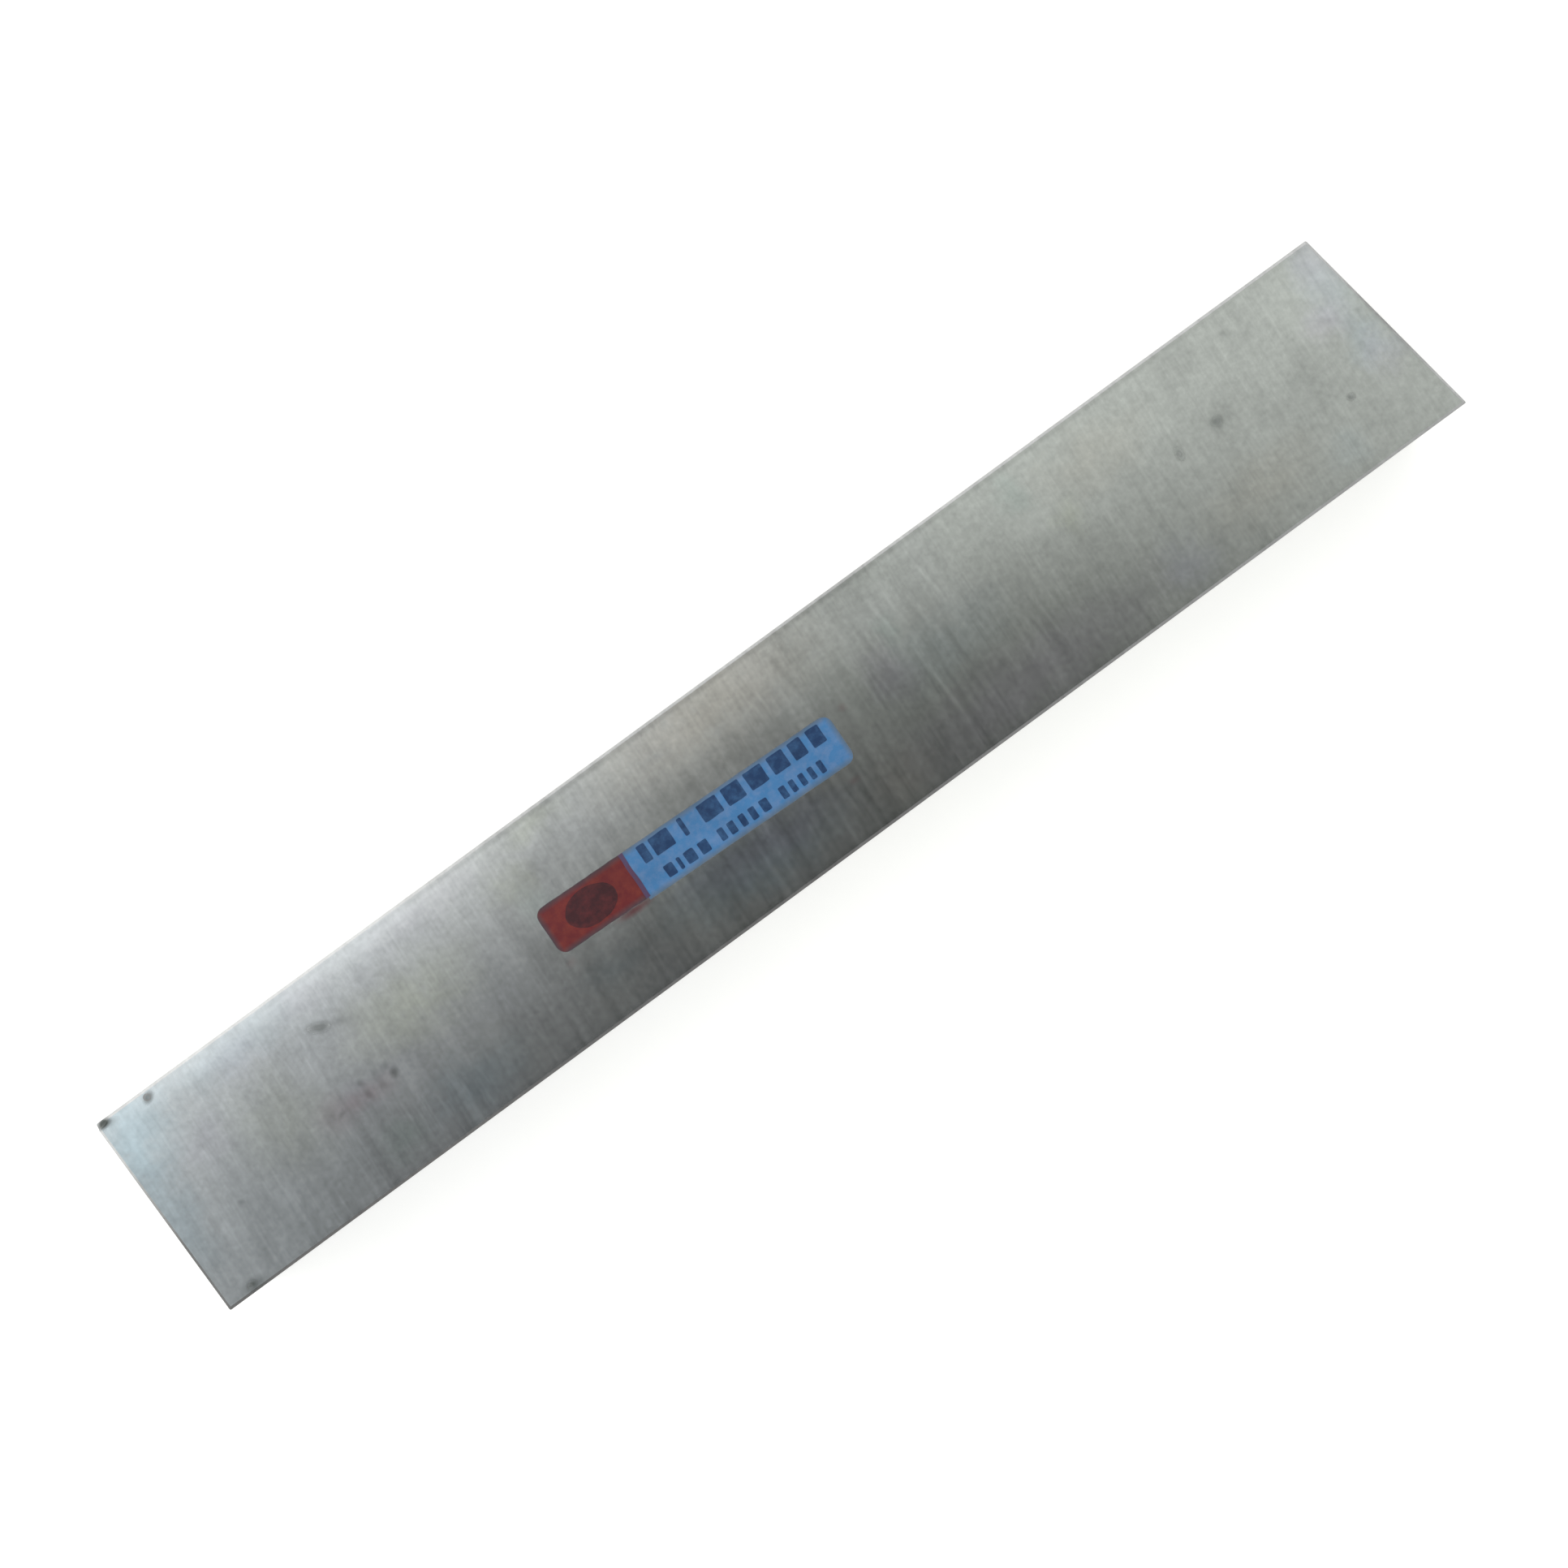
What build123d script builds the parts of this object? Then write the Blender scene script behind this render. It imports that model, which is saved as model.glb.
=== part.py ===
from build123d import *
from math import asin, degrees, radians, sin, tan
import os

# Millimetres. The bar lies on one long face with its labelled face up. X runs along it from the
# square end to the slanted end, Z is up, and the origin is under the middle of the box that it fills.

# Ground bar
side = 19.05
centre_length = 127.0
end_slant = 8.5
edge_break = 0.25
corner_break = 0.1

# Flake broken off the corner of the square end and the +Y edge
flake_length = 1.2
flake_width = 0.6

# Round pits in the upper face: place along the bar, place across it, width, depth. A place is
# measured from the square end or the +Y edge, or, where it is negative, from the slanted end's
# middle or the -Y edge.
pits = [
    (4.85, 0.70, 0.65, 0.15),
    (2.55, -0.65, 0.60, 0.08),
    (-16.75, 7.80, 0.60, 0.06),
    (-20.95, 8.22, 0.40, 0.05),
    (-6.30, -6.23, 0.40, 0.05),
]

# Short drag mark in the upper face, placed as the pits are
scratch_along = 19.65
scratch_across = 4.37
scratch_length = 2.00
scratch_width = 0.30
scratch_depth = 0.04
scratch_turn = -25.0

# Printed label: a red field and a blue field on one film, their +Y edges in line
label_from_end = 54.35
label_off_centre = -0.56
label_turn = -1.9
label_thickness = 0.08
label_corner = 0.9
red_length = 8.7
red_height = 4.35
blue_length = 20.9
blue_height = 4.60

# Places that follow from the sizes. The broken upright edge takes the very tip off the long corner,
# and the box that the bar fills ends there.
half_side = side / 2
slant_run = side * tan(radians(end_slant))
tip_lost = corner_break * sin(radians(end_slant))
square_end_x = -(centre_length + slant_run / 2 - tip_lost) / 2
long_edge_x = square_end_x + centre_length + slant_run / 2
short_edge_x = long_edge_x - slant_run


def along(place):
    """X of a place measured from the square end, or from the slanted end's middle if negative."""
    start = square_end_x if place >= 0 else square_end_x + centre_length
    return start + place


def across(place):
    """Y of a place measured in from the +Y edge, or from the -Y edge if negative."""
    return half_side - place if place >= 0 else -half_side - place


def scoop_radius(width, depth):
    """Radius of the ball that leaves a dent this wide and this deep in a flat face."""
    return (width**2 / 4 + depth**2) / (2 * depth)


def corner_flake():
    """Round bar that climbs out of the corner: it leaves a long, shallow, shell-like break."""
    climb = asin(flake_width / flake_length)
    reach = 4 * flake_length
    corner = (square_end_x, half_side, side)
    return Pos(*corner) * Rot(Y=90 - degrees(climb)) * Cylinder(flake_width, reach)


def pit(place_along, place_across, width, depth):
    """Ball sunk into the upper face so far that it leaves one round pit."""
    radius = scoop_radius(width, depth)
    return Pos(along(place_along), across(place_across), side + radius - depth) * Sphere(radius)


def scratch():
    """Round-ended rod laid level, sunk into the upper face along the drag mark."""
    radius = scoop_radius(scratch_width, scratch_depth)
    run = scratch_length - scratch_width
    rod = Rot(Y=90) * Cylinder(radius, run)
    for end in (-run / 2, run / 2):
        rod += Pos(X=end) * Sphere(radius)
    centre = (along(scratch_along), across(scratch_across), side + radius - scratch_depth)
    return Pos(*centre) * Rot(Z=scratch_turn) * rod


def ground_bar():
    """Square bar, one end square and one slanted, every edge broken, the uprights least, with its wear
    cut in."""
    corners = [
        (square_end_x, -half_side),
        (long_edge_x, -half_side),
        (short_edge_x, half_side),
        (square_end_x, half_side),
    ]
    bar = extrude(make_face(Polyline(*corners, close=True)), side)
    bar = chamfer(bar.edges().filter_by(Axis.Z, reverse=True), edge_break)
    bar = chamfer(bar.edges().filter_by(Axis.Z), corner_break)
    bar -= corner_flake()
    for row in pits:
        bar -= pit(*row)
    return bar - scratch()


def label_film():
    """Thin two-field label lying on the upper face, turned a little off the bar's length."""
    full_length = red_length + blue_length
    red_centre = ((red_length - full_length) / 2, (blue_height - red_height) / 2)
    blue_centre = ((full_length - blue_length) / 2, 0)
    outline = Pos(*red_centre) * Rectangle(red_length, red_height)
    outline += Pos(*blue_centre) * Rectangle(blue_length, blue_height)
    by_place = outline.vertices().group_by(Axis.X)
    outline = fillet(by_place[0] + by_place[-1], label_corner)
    film = extrude(outline, label_thickness)
    return Pos(along(label_from_end), label_off_centre, side) * Rot(Z=label_turn) * film


os.makedirs("parts", exist_ok=True)
for name, piece in {"tool_bit": ground_bar(), "label": label_film()}.items():
    piece.label = name
    export_step(piece, f"parts/{name}.step")
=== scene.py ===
from math import ceil, cos, pi, radians, sin

import bmesh
import bpy
from mathutils import Matrix, Vector, noise


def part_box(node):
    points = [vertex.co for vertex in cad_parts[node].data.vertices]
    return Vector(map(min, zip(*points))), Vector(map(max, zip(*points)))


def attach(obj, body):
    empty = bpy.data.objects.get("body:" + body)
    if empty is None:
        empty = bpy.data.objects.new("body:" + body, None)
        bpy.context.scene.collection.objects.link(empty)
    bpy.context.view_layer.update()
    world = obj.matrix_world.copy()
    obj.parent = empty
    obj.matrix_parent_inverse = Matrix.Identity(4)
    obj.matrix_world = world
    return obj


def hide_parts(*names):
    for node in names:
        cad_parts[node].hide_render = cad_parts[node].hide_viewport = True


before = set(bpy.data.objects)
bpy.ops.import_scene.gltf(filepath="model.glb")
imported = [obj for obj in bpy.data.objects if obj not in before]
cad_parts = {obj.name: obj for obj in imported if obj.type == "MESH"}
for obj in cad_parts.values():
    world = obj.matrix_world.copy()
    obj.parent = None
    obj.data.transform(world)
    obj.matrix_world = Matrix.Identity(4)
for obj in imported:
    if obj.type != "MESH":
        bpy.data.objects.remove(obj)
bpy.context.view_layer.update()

bl_info = {
    "name": "Ground Tool Bit",
    "version": (1, 0, 0),
    "blender": (4, 5, 0),
    "location": "3D View > Sidebar > Tool Bit",
    "description": "Gives a square tool bit its ground steel, its printed label and a studio to lie in",
    "category": "Object",
}

MM = 0.001
BODY = "root"

# The bar lies along X with its labelled face up. The label is placed by the middle of its own box.
BAR = "tool_bit"
BAR_LOW, BAR_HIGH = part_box(BAR)
LABEL = "label"
LABEL_LOW, LABEL_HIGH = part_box(LABEL)
FACE_Z = LABEL_LOW[2]
LABEL_MIDDLE = Vector(((LABEL_LOW[0] + LABEL_HIGH[0]) / 2, (LABEL_LOW[1] + LABEL_HIGH[1]) / 2, FACE_Z))

# Heights over the bar's face. The print lies on the colour fields, and the fields on the clear film.
PRINT_TOP = LABEL_HIGH[2] - FACE_Z
INK_COAT = PRINT_TOP * 3 / 16
FIELD_TOP = PRINT_TOP - INK_COAT
FILM_TOP = FIELD_TOP - INK_COAT

# Marks in the upper face, in millimetres: middle along the bar and across it, half length, half
# width, turn in degrees, and weight. A wheel mark or a painted patch of sheen and shade is lighter
# than the steel where its weight is positive.
WHEEL_MARKS = [
    (-48.4, 5.2, 3.0, 0.22, 94, -0.7),
    (-44.6, -6.2, 2.4, 0.20, 94, -0.8),
    (-41.9, -6.2, 2.4, 0.22, 94, 0.8),
    (-39.9, -6.4, 2.4, 0.26, 94, 0.9),
    (-37.4, -6.2, 2.6, 0.24, 94, -0.7),
    (-35.8, -6.4, 2.2, 0.20, 94, 0.7),
    (-29.6, 5.6, 3.2, 0.24, 94, 0.9),
    (-25.8, -6.2, 2.0, 0.24, 94, 0.8),
    (0.0, -6.3, 2.6, 0.32, 94, 1.1),
    (0.4, 5.6, 3.2, 0.30, 94, 0.8),
    (1.3, 5.6, 3.4, 0.30, 94, 1.1),
    (2.4, -6.2, 2.4, 0.30, 94, 0.8),
    (3.7, -6.2, 2.4, 0.38, 94, -1.0),
    (4.2, 5.2, 4.4, 0.55, 94, -1.6),
    (5.7, -6.4, 2.4, 0.30, 94, 0.7),
    (6.4, -0.4, 3.6, 0.80, 94, -0.9),
    (9.0, 1.0, 8.4, 0.30, 94, 0.8),
    (10.4, 0.0, 3.2, 0.30, 94, 1.1),
    (11.4, 2.6, 6.8, 0.34, 94, -1.1),
    (13.5, 5.0, 4.6, 0.38, 94, 1.4),
    (14.3, -2.8, 7.0, 0.36, 92, 1.5),
    (14.8, 5.8, 3.4, 0.28, 94, 1.0),
    (16.0, 4.6, 4.6, 0.44, 94, -1.0),
    (17.2, 0.4, 8.6, 0.44, 94, -1.0),
    (18.6, 5.2, 4.2, 0.32, 94, 1.3),
    (20.0, -1.4, 8.2, 0.34, 94, 1.0),
    (23.6, -3.4, 5.6, 0.36, 94, -0.9),
    (24.9, -3.4, 5.6, 0.30, 94, 0.9),
    (26.4, -6.0, 2.8, 0.28, 94, 0.8),
    (38.8, -6.2, 2.8, 0.22, 94, 0.6),
]
# Broad patches painted lighter or darker into the steel's colour: partly the steel's own patchy tone,
# partly painted sheen and shade that stand in for its uneven reflection. The first two are a painted
# highlight along the +Y edge at the square end, reaching onto the +Y face. The row before the last five
# is a painted glint below the red field. The last five are painted shade: narrow dark bands along the
# edges and on the slanted end's chamfer.
TONE_SHEEN_AND_SHADE_PATCHES = [
    # Painted highlight along the +Y edge at the square end
    (-55.0, 9.7, 18.0, 3.0, 0, 3.4),
    (-38.0, 9.7, 18.0, 3.0, 0, 3.4),
    (-62.5, 6.0, 4.0, 4.5, 0, 1.2),
    (-54.5, -4.9, 2.6, 3.2, 0, 1.4),
    (-50.4, 2.6, 3.8, 4.2, 0, -1.2),
    (-51.0, -2.4, 2.8, 2.8, 0, -1.0),
    (-47.6, 5.2, 2.6, 2.8, 0, -1.1),
    (-41.0, 4.6, 9.0, 2.8, 0, -0.9),
    (-40.4, -2.8, 1.9, 2.2, 0, 1.2),
    (-47.5, -6.8, 2.4, 3.0, 0, -0.8),
    (-37.0, -6.4, 2.0, 3.0, 0, -1.5),
    (-30.0, 7.2, 3.4, 3.0, 0, 0.8),
    (-26.5, 0.6, 1.9, 5.6, 0, -1.1),
    (-22.0, 4.8, 5.5, 2.4, 0, -1.3),
    (-24.5, -1.0, 3.2, 3.2, 0, -0.8),
    (-21.4, -5.2, 8.0, 2.6, 0, -1.4),
    (-26.5, 8.2, 2.0, 1.6, 0, 0.8),
    (-5.0, 2.9, 10.0, 1.0, -2, -0.7),
    (-4.0, 5.2, 7.5, 1.4, 0, 0.8),
    (-19.2, 7.2, 2.0, 3.2, 0, -0.9),
    (-5.5, -4.0, 12.0, 1.9, -2, -1.6),
    (-6.0, -5.4, 13.0, 2.4, 0, -0.5),
    (0.8, -7.0, 2.6, 3.6, 0, 1.1),
    (6.6, -5.6, 2.8, 2.2, 0, -0.8),
    (5.2, 7.8, 2.6, 3.6, 0, -1.3),
    (9.8, 0.4, 3.2, 2.8, 0, -1.2),
    (12.0, 8.6, 10.0, 4.2, 0, -1.5),
    (15.4, 1.8, 1.8, 3.0, 0, -0.8),
    (18.6, -7.0, 2.4, 3.2, 0, 1.0),
    (19.6, 7.6, 3.0, 2.4, 0, -0.9),
    (29.5, 3.9, 5.0, 2.4, 0, 0.8),
    (33.0, -6.0, 3.4, 3.2, 0, -0.7),
    (46.0, 7.2, 4.4, 3.0, 0, -1.0),
    (46.5, 2.0, 5.5, 2.8, 0, -0.8),
    (51.5, 6.6, 4.0, 3.6, 0, -0.6),
    (54.0, -0.3, 6.4, 5.2, 0, -0.9),
    (57.2, 5.4, 2.8, 6.0, 0, 0.6),
    (61.0, 6.0, 4.5, 5.0, 0, 1.1),
    # Painted glint below the red field
    (-20.1, -2.8, 0.6, 0.4, 0, 1.4),
    # Painted shade: dark bands along the edges and on the slanted end's chamfer
    (-8.0, 9.1, 72.0, 0.46, 0, -1.8),
    (45.0, 9.1, 25.0, 0.50, 0, -0.7),
    (-8.0, -9.15, 90.0, 0.50, 0, -1.1),
    (62.4, 1.0, 0.50, 12.0, 8.5, -1.0),
    (62.55, 1.0, 0.26, 12.0, 8.5, -3.6),
]
# Thick grime, which fills the broken corner, the pits and the drag mark. In the broken corner its dark is
# partly painted shade, for the break faces away from the light.
THICK_GRIME_AND_SHADE = [
    (-63.68, 9.20, 1.00, 0.58, -5, 1.0),
    (-59.24, 8.77, 0.82, 0.58, 28, 0.68),
    (-61.50, -8.90, 0.80, 0.58, 0, 0.46),
    (-44.50, 5.10, 1.50, 0.70, -25, 0.54),
    (41.93, 1.28, 0.54, 0.90, 0, 0.54),
    (46.14, 1.62, 0.74, 0.66, 0, 0.48),
    (56.58, -3.35, 0.54, 0.48, 0, 0.52),
]
# Thin dark stains, some of them round the thick grime
DARK_STAINS = [
    (-63.10, 8.95, 1.10, 0.50, -8, 0.30),
    (-61.20, -9.00, 1.90, 0.90, -8, 0.48),
    (-60.60, -2.80, 0.90, 0.80, 0, 0.10),
    (-58.20, -2.85, 0.45, 0.38, 0, 0.22),
    (-58.20, 2.90, 0.60, 0.45, 0, 0.12),
    (-48.20, -2.00, 1.40, 1.20, 0, 0.08),
    (-48.00, -1.45, 0.85, 0.80, 0, 0.20),
    (-47.20, -1.90, 0.55, 0.45, 0, 0.32),
    (-45.80, 0.65, 0.70, 0.55, -30, 0.14),
    (-45.60, -1.90, 0.55, 0.40, 0, 0.10),
    (-44.40, 5.05, 1.50, 0.80, -25, 0.14),
    (-42.80, 4.45, 1.40, 0.52, -30, 0.14),
    (-44.45, -0.70, 0.55, 0.60, 0, 0.36),
    (-44.40, -1.75, 0.52, 0.85, 8, 0.36),
    (-43.15, -1.05, 0.75, 1.05, -10, 0.20),
    (-42.95, -1.95, 0.55, 0.55, 0, 0.20),
    (-42.15, -0.75, 0.58, 0.68, 0, 0.32),
    (-41.80, 4.00, 2.40, 0.50, -38, 0.08),
    (-41.68, -1.72, 0.55, 0.70, 0, 0.56),
    (43.15, -7.30, 0.60, 0.60, 0, 0.10),
    (43.60, 5.20, 0.55, 0.45, 0, 0.09),
    (46.20, 1.55, 1.40, 1.10, -8, 0.16),
    (46.35, -2.90, 0.50, 0.45, 0, 0.12),
    (50.90, 7.35, 0.42, 0.36, 0, 0.22),
    (52.00, 4.50, 0.45, 0.45, 0, 0.10),
    (53.20, 0.60, 0.60, 0.50, 0, 0.13),
    (56.50, -3.30, 1.00, 0.65, 0, 0.08),
    (61.45, 2.20, 0.40, 0.45, 0, 0.22),
]
# Reddish residue: an old smear, a few specks, and red ink that has bled out from under the label
RESIDUE_STAINS = [
    (-47.4, -1.6, 3.0, 2.6, 0, 0.10),
    (-45.6, -1.8, 1.4, 1.2, 0, 0.11),
    (-44.3, -1.7, 1.0, 1.3, 0, 0.12),
    (-43.0, -2.0, 2.2, 1.4, 0, 0.10),
    (-17.5, -2.6, 2.6, 0.55, -2, 0.75),
    (-24.4, -3.0, 0.8, 0.60, 20, 0.14),
    (3.6, -4.7, 0.9, 0.50, 0, 0.18),
    (6.4, 0.8, 0.6, 0.60, 0, 0.14),
]

# Thin films of oil and oxide that tint the steel
FILM_PATCHES = {
    "blue_film": [
        (-62.5, 6.5, 7.5, 5.5, 50, 0.40),
        (-63.2, -0.5, 3.4, 8.0, 0, 0.24),
        (-52.0, 7.8, 9.0, 2.8, 0, 0.16),
        (-36.5, -6.5, 7.5, 4.0, 0, 0.24),
        (-22.0, -5.3, 4.0, 2.2, 0, 0.16),
        (-7.0, -5.0, 12.5, 4.2, -2, 0.50),
        (16.0, 0.0, 10.0, 4.5, 0, 0.12),
        (37.2, -6.6, 3.4, 4.0, 0, 0.12),
        (54.0, -7.0, 3.0, 2.8, 0, 0.09),
        (60.2, 5.5, 3.6, 6.5, 0, 0.17),
        (60.5, -0.5, 3.0, 3.6, 0, 0.22),
    ],
    "lilac_film": [
        (-57.5, 2.8, 3.6, 2.8, 0, 0.14),
        (-51.5, 7.2, 4.2, 2.8, 0, 0.14),
        (-45.0, -1.6, 5.2, 2.0, 0, 0.16),
        (-44.5, 8.0, 4.2, 2.2, 0, 0.12),
        (-31.0, 8.0, 10.0, 2.4, 0, 0.14),
        (-6.0, -4.6, 11.5, 2.8, -2, 0.40),
        (11.3, 0.8, 3.2, 4.0, 0, 0.28),
        (20.0, -6.8, 20.0, 4.8, 0, 0.28),
        (37.0, -6.6, 3.8, 3.8, 0, 0.22),
        (58.8, 3.2, 3.6, 3.2, 0, 0.30),
        (60.5, 7.5, 3.6, 3.8, 0, 0.28),
        (60.8, -1.5, 2.8, 3.6, 0, 0.22),
    ],
    "olive_film": [
        (-51.5, 0.5, 6.5, 6.5, 0, 0.26),
        (-37.0, 2.2, 10.0, 5.0, 0, 0.44),
        (-24.5, 5.0, 3.4, 2.6, 0, 0.34),
        (-20.5, 8.4, 5.0, 1.8, 0, 0.30),
        (31.5, 2.5, 2.6, 2.2, 0, 0.32),
    ],
    "tan_film": [
        (-3.0, 7.6, 17.0, 6.5, 0, 0.26),
        (7.0, -7.0, 4.6, 4.0, 0, 0.14),
        (36.0, 5.5, 8.0, 4.0, 0, 0.12),
        (46.0, -5.0, 8.0, 4.0, 0, 0.12),
    ],
    "green_film": [
        (-44.3, -6.8, 3.2, 2.8, 0, 0.28),
        (-24.0, 2.7, 2.4, 2.2, 0, 0.18),
        (13.4, 3.8, 1.6, 2.4, 0, 0.28),
        (28.3, 7.0, 2.2, 2.8, 0, 0.22),
    ],
}

# Blocks of the print, in millimetres from the label's middle: start and width of each, and for each
# row its middle and its height
HEAVY_ROW = [
    (-4.75, 0.80), (-3.55, 1.90), (-0.67, 0.42), (1.30, 1.90), (3.75, 1.75), (6.05, 1.75), (8.40, 1.55),
    (10.50, 1.25), (12.35, 1.25),
]
LIGHT_ROW = [
    (-3.75, 0.85), (-2.50, 0.35), (-1.75, 0.95), (-0.35, 0.90), (1.65, 0.55), (2.60, 0.65), (3.75, 0.55),
    (4.75, 0.60), (5.85, 0.80), (7.85, 0.60), (8.85, 0.50), (9.80, 0.50), (10.75, 0.50), (11.70, 0.50),
]
PRINT_ROWS = [(HEAVY_ROW, 1.19, 1.62), (LIGHT_ROW, -1.17, 1.10)]
BLOCK_CORNER = 0.12 * MM

# How far the edges of the ink wander
FIELD_WANDER = 0.03 * MM
BLOCK_WANDER = 0.04 * MM
OVAL_WANDER = 0.08 * MM
STRIP_WANDER = 0.05 * MM


def linear(code):
    """A #RRGGBB colour in Blender's linear red, green, blue and alpha."""
    shares = [int(code[start : start + 2], 16) / 255 for start in (1, 3, 5)]
    return [part / 12.92 if part <= 0.04045 else ((part + 0.055) / 1.055) ** 2.4 for part in shares] + [1.0]


def colour(name, description, code):
    return bpy.props.FloatVectorProperty(
        name=name, description=description, subtype="COLOR", size=4, min=0, max=1, default=linear(code)
    )


def length(name, description, millimetres):
    return bpy.props.FloatProperty(
        name=name, description=description, unit="LENGTH", min=0, default=millimetres * MM, precision=5
    )


def angle(name, description, degrees):
    return bpy.props.FloatProperty(
        name=name, description=description, unit="ROTATION", default=radians(degrees)
    )


def share(name, description, value, highest=1.0):
    return bpy.props.FloatProperty(
        name=name, description=description, min=0, max=highest, default=value, precision=3
    )


def pair(name, description, values):
    return bpy.props.FloatVectorProperty(
        name=name, description=description, size=2, default=values, precision=4
    )


class SteelSettings(bpy.types.PropertyGroup):
    steel: colour("Steel", "Colour of the ground steel", "#B5B8B9")
    cool_haze: colour("Cool Haze", "Bluish haze on the steel near the square end", "#AFB5B7")
    warm_haze: colour("Warm Haze", "Greenish-yellow haze on the rest of the steel", "#B3B8B2")
    blue_film: colour("Blue Film", "Thin bluish oxide", "#9CBAC6")
    lilac_film: colour("Lilac Film", "Thin lilac oxide", "#B6AFBE")
    olive_film: colour("Olive Film", "Thin olive oil film", "#B2B8A4")
    tan_film: colour("Tan Film", "Thin tan oil film", "#C4B79F")
    green_film: colour("Green Film", "Thin greenish oxide", "#A4BBB2")
    # Colour of the grime, which in the broken corner is partly painted shade
    grime_and_shade: colour("Grime", "Dirt in the pits and the broken corner", "#383F3C")
    residue: colour("Residue", "Reddish residue in the stains", "#A0565C")
    clean_edge: colour("Clean Edge", "Broken edges on the +Y side", "#B8B9B9")
    # The dark colour of the -Y edges is painted shade
    shaded_edge: colour("Dull Edge", "Broken edges on the -Y side, dulled by oily dirt", "#6A6A6A")
    line_pitch: length("Line Pitch", "Spacing of the grinding lines", 0.28)
    line_length: length("Line Length", "Length over which one grinding line keeps its tone", 4.5)
    streak_pitch: length("Streak Pitch", "Spacing of the broader grinding streaks", 0.8)
    speck: length("Speck", "Size of the fine mottling", 0.55)
    cloud: length("Cloud", "Size of the cloudy blotches", 2.6)
    haze: length("Haze", "Size of the patches of haze", 14.0)
    cut_pitch: length("Cut Pitch", "Spacing of the cut-off wheel's arcs on the ends", 0.45)
    wheel: length("Cut-off Wheel", "Radius of the wheel that cut the ends", 90.0)
    lean: angle("Lean", "Lean of the grinding lines towards the slanted end", 4.0)
    fray: length("Fray", "How far the edges of the stains wander", 0.5)
    drift: length("Drift", "How far the edges of the thin films wander", 4.0)
    relief: length("Relief", "Depth of the grinding lines", 0.0004)
    line_contrast: share("Line Contrast", "How far the grinding lines change the tone", 0.22)
    streak_contrast: share("Streak Contrast", "How far the broader streaks change the tone", 0.16)
    speck_contrast: share("Speck Contrast", "How far the fine mottling changes the tone", 0.38)
    cloud_contrast: share("Cloud Contrast", "How far the blotches change the tone", 0.29)
    mark_contrast: share("Mark Contrast", "How far a full wheel mark changes the tone", 0.11)
    roughness: share("Roughness", "Roughness of the ground faces", 0.145)
    streak_roughness: share("Streak Roughness", "How far the streaks change the roughness", 0.05)
    grime_roughness: share("Grime Roughness", "How much rougher a face is under grime", 0.04)
    edge_roughness: share("Edge Roughness", "How much rougher the broken edges are", 0.14)
    cut_roughness: share("Cut Roughness", "How much rougher the cut ends are", 0.12)
    anisotropy: share("Anisotropy", "How far the grinding lines stretch a reflection", 0.806)


class LabelSettings(bpy.types.PropertyGroup):
    turn: angle("Turn", "Turn of the label on the bar", -1.9)
    red_length: length("Red Length", "Length of the red field", 8.7)
    red_height: length("Red Height", "Height of the red field", 4.35)
    blue_length: length("Blue Length", "Length of the blue field", 20.9)
    blue_height: length("Blue Height", "Height of the blue field", 4.6)
    corner: length("Corner", "Radius of the label's outer corners", 0.9)
    oval_length: length("Oval Length", "Half length of the dark oval in the red field", 2.4)
    oval_height: length("Oval Height", "Half height of the dark oval in the red field", 1.6)
    border: length("Border", "Width of the label's worn border", 0.55)
    overlap: length("Overlap", "Width of the strip where the two fields overlap", 0.4)
    film: colour("Film", "Clear varnished film under the ink", "#8B8D8A")
    red: colour("Red", "Ink of the short field", "#60161A")
    thin_red: colour("Thin Red", "Red ink where it lies thin", "#742618")
    red_border: colour("Red Border", "Worn border of the red field", "#343A42")
    blue: colour("Blue", "Ink of the long field", "#3F75A6")
    thin_blue: colour("Thin Blue", "Blue ink where it lies thin", "#607FA8")
    blue_border: colour("Blue Border", "Worn border of the blue field", "#586268")
    navy: colour("Navy", "Ink of the blocks", "#10335A")
    maroon: colour("Maroon", "Ink of the oval", "#350C14")
    purple: colour("Purple", "Where the red ink overlaps the blue", "#4B3C5A")
    gloss: share("Roughness", "Roughness of the varnished ink", 0.2)
    gloss_change: share("Roughness Change", "How far the specks change the roughness", 0.12)
    speck: length("Speck", "Size of the specks where the ink is thin", 0.7)
    cloud: length("Cloud", "Size of the cloudy patches in the ink", 3.0)
    relief: length("Relief", "Height of the specks in the varnish", 0.003)


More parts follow.
